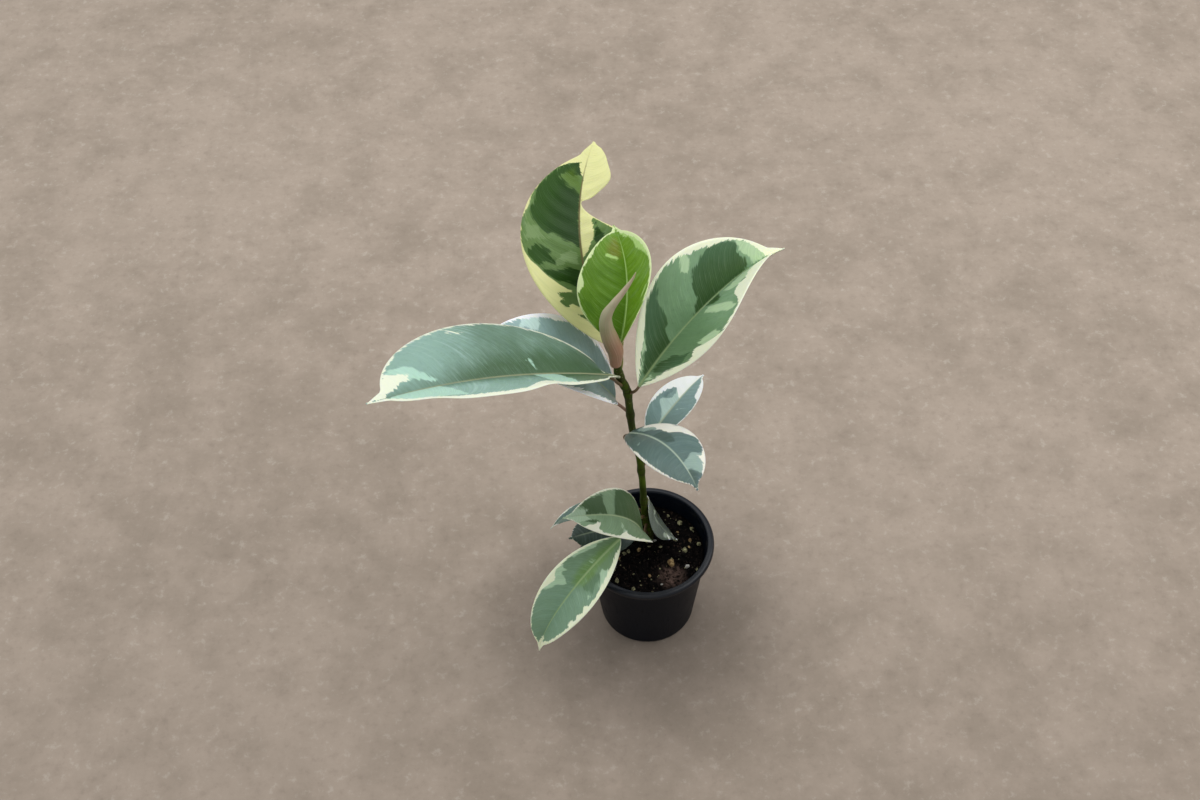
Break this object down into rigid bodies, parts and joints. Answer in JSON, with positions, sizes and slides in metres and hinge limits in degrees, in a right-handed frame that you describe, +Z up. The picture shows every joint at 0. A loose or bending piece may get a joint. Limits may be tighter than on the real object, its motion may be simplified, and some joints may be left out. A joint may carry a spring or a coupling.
{
  "type": "potted rubber plant",
  "caption": "Young variegated rubber plant with broad, cream-edged leaves on one slim stem, growing in a round black nursery pot.",
  "frame": {"origin": "middle of the pot's flat underside", "axes": "+Z up; the plant is seen from the front when looking along +Y, with +X to the right"},
  "size_m": [0.3416, 0.2798, 0.4742],
  "materials": {
    "pot_plastic": "moulded black plastic with a soft bluish sheen on the rim",
    "potting_mix": "dark moist peat and bark with pale perlite",
    "stem_bark": "smooth olive green with brown leaf scars",
    "sheath_skin": "dusty pink, thin and satin",
    "young_leaf": "soft bright green with a yellow edge",
    "grown_leaf": "waxy grey-green patches with a cream edge"
  },
  "bodies": {
    "root": {"pot": "pot_plastic", "soil": "potting_mix", "stem": "stem_bark", "bud_sheath": "sheath_skin", "leaf_01_unfurling": "young_leaf", "leaf_02_crooked": "young_leaf", "leaf_03_right": "grown_leaf", "leaf_04_left": "grown_leaf", "leaf_05_left_back": "grown_leaf", "leaf_06_right_back": "grown_leaf", "leaf_07_right_front": "grown_leaf", "leaf_08_low_left": "grown_leaf", "leaf_09_low_right": "grown_leaf", "leaf_10_low_front": "grown_leaf", "leaf_11_low_back": "grown_leaf", "leaf_12_shaded": "grown_leaf"}
  },
  "joints": []
}
